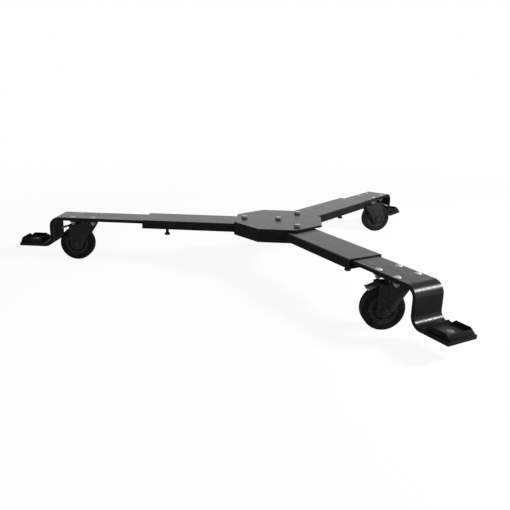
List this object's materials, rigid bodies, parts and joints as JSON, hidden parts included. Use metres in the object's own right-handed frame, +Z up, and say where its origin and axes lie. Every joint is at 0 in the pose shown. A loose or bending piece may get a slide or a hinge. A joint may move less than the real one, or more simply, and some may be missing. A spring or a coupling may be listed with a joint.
{
  "type": "piano dolly",
  "caption": "Low spider dolly for a grand piano: arms sliding from an eight-sided hub, braked swivel casters and notched foot cups on dropped bar ends.",
  "frame": {"origin": "on the floor under the hub's axis", "axes": "+Z up, -X along the left arm"},
  "size_m": [1.2527, 1.2953, 0.1532],
  "materials": {
    "black_paint": "semi-gloss black paint",
    "bright_zinc": "bright zinc plate",
    "dark_steel": "blackened steel",
    "wheel_core": "moulded black core",
    "tyre_rubber": "black rubber"
  },
  "bodies": {
    "hub": {"hub_top_plate": "black_paint", "hub_bottom_plate": "black_paint", "hub_walls": "black_paint", "hub_bolts": "bright_zinc", "hub_nuts": "bright_zinc", "clamp_nuts": "black_paint", "left_arm_tube": "black_paint", "front_arm_tube": "black_paint", "back_arm_tube": "black_paint"},
    "left_screw": {"left_clamp_screw": "dark_steel"},
    "left_bar": {"left_extension_bar": "black_paint", "left_foot_cup": "black_paint", "left_cup_rivet": "bright_zinc", "left_caster_bolts": "bright_zinc", "left_caster_nuts": "bright_zinc", "left_caster_plate": "dark_steel", "left_swivel_balls": "dark_steel", "left_kingpin": "dark_steel"},
    "left_fork": {"left_caster_fork": "dark_steel", "left_axle_bolt": "bright_zinc", "left_axle_nut": "bright_zinc", "left_axle_sleeve": "dark_steel", "left_brake_pin": "dark_steel"},
    "left_wheel": {"left_wheel_core": "wheel_core", "left_wheel_tyre": "tyre_rubber"},
    "left_brake": {"left_brake_pedal": "bright_zinc"},
    "front_screw": {"front_clamp_screw": "dark_steel"},
    "front_bar": {"front_extension_bar": "black_paint", "front_foot_cup": "black_paint", "front_cup_rivet": "bright_zinc", "front_caster_bolts": "bright_zinc", "front_caster_nuts": "bright_zinc", "front_caster_plate": "dark_steel", "front_swivel_balls": "dark_steel", "front_kingpin": "dark_steel"},
    "front_fork": {"front_caster_fork": "dark_steel", "front_axle_bolt": "bright_zinc", "front_axle_nut": "bright_zinc", "front_axle_sleeve": "dark_steel", "front_brake_pin": "dark_steel"},
    "front_wheel": {"front_wheel_core": "wheel_core", "front_wheel_tyre": "tyre_rubber"},
    "front_brake": {"front_brake_pedal": "bright_zinc"},
    "back_screw": {"back_clamp_screw": "dark_steel"},
    "back_bar": {"back_extension_bar": "black_paint", "back_foot_cup": "black_paint", "back_cup_rivet": "bright_zinc", "back_caster_bolts": "bright_zinc", "back_caster_nuts": "bright_zinc", "back_caster_plate": "dark_steel", "back_swivel_balls": "dark_steel", "back_kingpin": "dark_steel"},
    "back_fork": {"back_caster_fork": "dark_steel", "back_axle_bolt": "bright_zinc", "back_axle_nut": "bright_zinc", "back_axle_sleeve": "dark_steel", "back_brake_pin": "dark_steel"},
    "back_wheel": {"back_wheel_core": "wheel_core", "back_wheel_tyre": "tyre_rubber"},
    "back_brake": {"back_brake_pedal": "bright_zinc"}
  },
  "joints": [
    {"name": "left_bar_slide", "type": "slide", "parent": "hub", "child": "left_bar", "axis": [-1, 0, 0], "range_m": [-0.0865, 0.1077]},
    {"name": "left_screw_turn", "type": "hinge", "parent": "hub", "child": "left_screw", "pos_m": [-0.33655, 0, 0.1], "axis": [0, 0, 1], "range_deg": [0, 900]},
    {"name": "left_swivel", "type": "hinge", "parent": "left_bar", "child": "left_fork", "pos_m": [-0.58605, 0, 0.11], "axis": [0, 0, 1], "continuous": true},
    {"name": "left_wheel_spin", "type": "hinge", "parent": "left_fork", "child": "left_wheel", "pos_m": [-0.61601, -0.00157, 0.0508], "axis": [0.0523, -0.9986, 0], "continuous": true},
    {"name": "left_brake_press", "type": "hinge", "parent": "left_fork", "child": "left_brake", "pos_m": [-0.62599, -0.00209, 0.1075], "axis": [0.0523, -0.9986, 0], "range_deg": [0, 10]},
    {"name": "front_bar_slide", "type": "slide", "parent": "hub", "child": "front_bar", "axis": [0.5519, -0.8339, 0], "range_m": [-0.0135, 0.1807]},
    {"name": "front_screw_turn", "type": "hinge", "parent": "hub", "child": "front_screw", "pos_m": [0.18575, -0.28064, 0.1], "axis": [0, 0, 1], "range_deg": [0, 900]},
    {"name": "front_swivel", "type": "hinge", "parent": "front_bar", "child": "front_fork", "pos_m": [0.28317, -0.42783, 0.11], "axis": [0, 0, 1], "continuous": true},
    {"name": "front_wheel_spin", "type": "hinge", "parent": "front_fork", "child": "front_wheel", "pos_m": [0.25363, -0.43304, 0.0508], "axis": [0.1736, -0.9848, 0], "continuous": true},
    {"name": "front_brake_press", "type": "hinge", "parent": "front_fork", "child": "front_brake", "pos_m": [0.24378, -0.43477, 0.1075], "axis": [0.1736, -0.9848, 0], "range_deg": [0, 10]},
    {"name": "back_bar_slide", "type": "slide", "parent": "hub", "child": "back_bar", "axis": [0.5519, 0.8339, 0], "range_m": [-0.0925, 0.1398]},
    {"name": "back_screw_turn", "type": "hinge", "parent": "hub", "child": "back_screw", "pos_m": [0.20678, 0.31241, 0.1], "axis": [0, 0, 1], "range_deg": [0, 900]},
    {"name": "back_swivel", "type": "hinge", "parent": "back_bar", "child": "back_fork", "pos_m": [0.32677, 0.4937, 0.11], "axis": [0, 0, 1], "continuous": true},
    {"name": "back_wheel_spin", "type": "hinge", "parent": "back_fork", "child": "back_wheel", "pos_m": [0.35531, 0.50297, 0.0508], "axis": [-0.309, 0.9511, 0], "continuous": true},
    {"name": "back_brake_press", "type": "hinge", "parent": "back_fork", "child": "back_brake", "pos_m": [0.36482, 0.50606, 0.1075], "axis": [-0.309, 0.9511, 0], "range_deg": [0, 10]}
  ]
}
